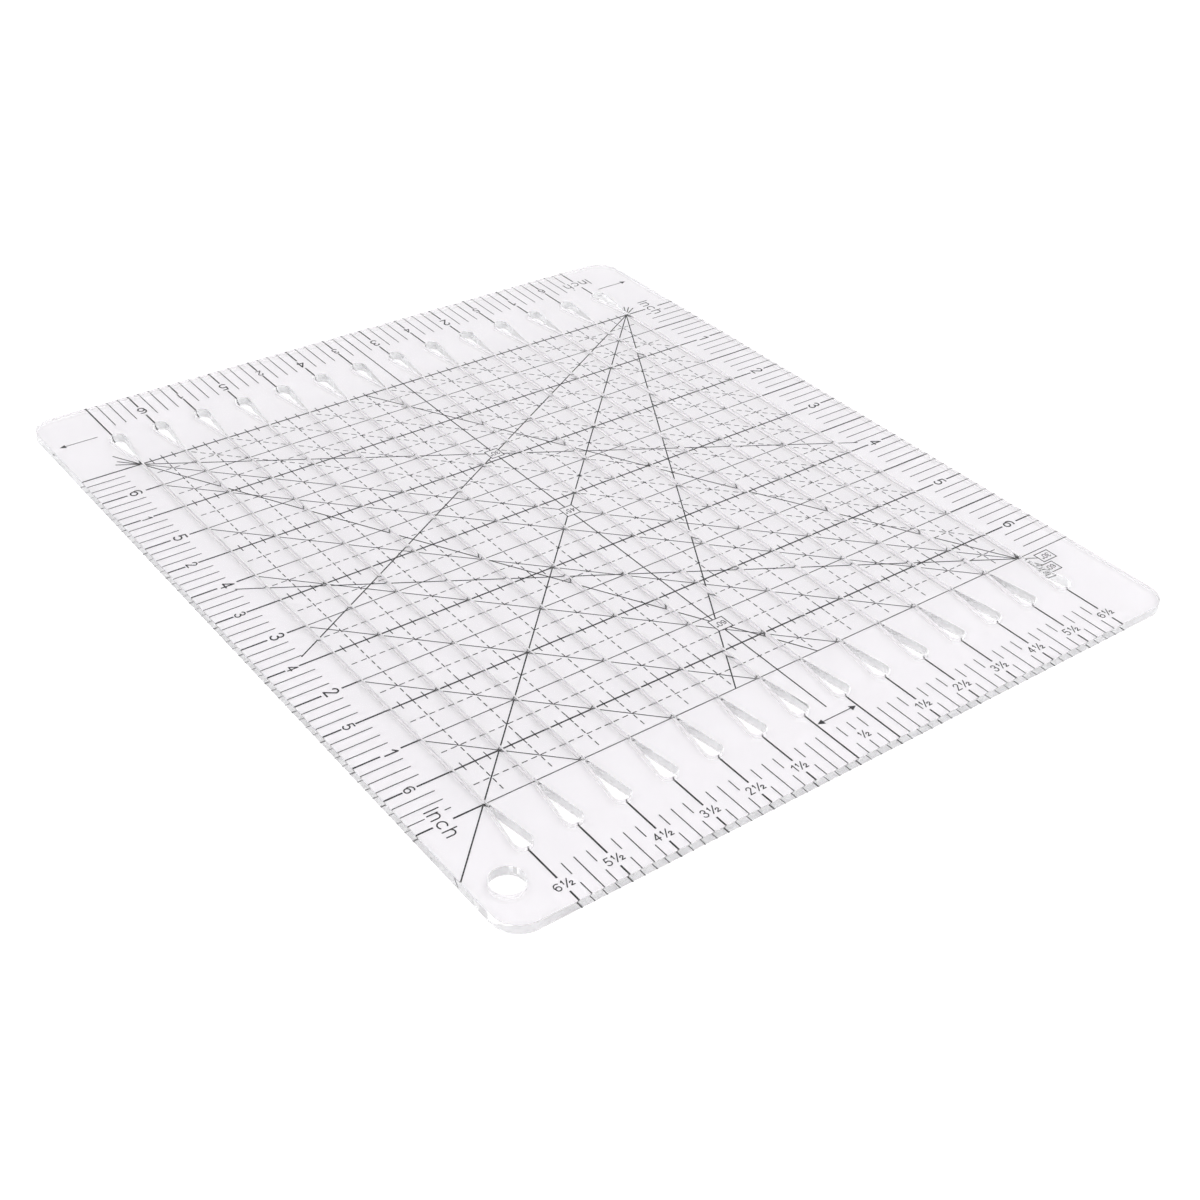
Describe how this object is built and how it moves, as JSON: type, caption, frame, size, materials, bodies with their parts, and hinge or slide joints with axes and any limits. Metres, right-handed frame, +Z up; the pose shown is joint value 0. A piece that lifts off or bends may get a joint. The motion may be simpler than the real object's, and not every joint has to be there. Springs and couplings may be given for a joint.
{
  "type": "quilting ruler",
  "caption": "Clear acrylic quilting ruler with a row of parallel cutting slots, teardrop blade entries, a hang hole and a printed inch grid with angle lines",
  "frame": {"origin": "the middle of the underside, on the surface that the ruler rests on (the lower face of the ink film)", "axes": "+X to the right along the front edge, +Y away along the slots, which is the longest side, +Z up through the plate"},
  "size_m": [0.2, 0.235, 0.0025],
  "materials": {
    "acrylic": "clear cast acrylic with polished faces and cut edges",
    "ink": "screen-printed dark grey ink on the underside"
  },
  "bodies": {
    "root": {"acrylic_plate": "acrylic", "angle_label_boxes": "ink", "angle_label_figures": "ink", "angle_lines_30": "ink", "angle_lines_45": "ink", "angle_lines_60": "ink", "back_scale_graduations": "ink", "back_scale_large_figures": "ink", "back_scale_small_figures": "ink", "centre_line": "ink", "corner_angle_rays": "ink", "front_scale_figures": "ink", "front_scale_graduations": "ink", "half_inch_rows": "ink", "hand_direction_arrows": "ink", "left_scale_graduations": "ink", "left_scale_large_figures": "ink", "left_scale_small_figures": "ink", "main_diagonal": "ink", "right_scale_figures": "ink", "right_scale_graduations": "ink", "slot_spacing_arrow": "ink", "unit_words": "ink", "whole_inch_rows": "ink"}
  },
  "joints": []
}
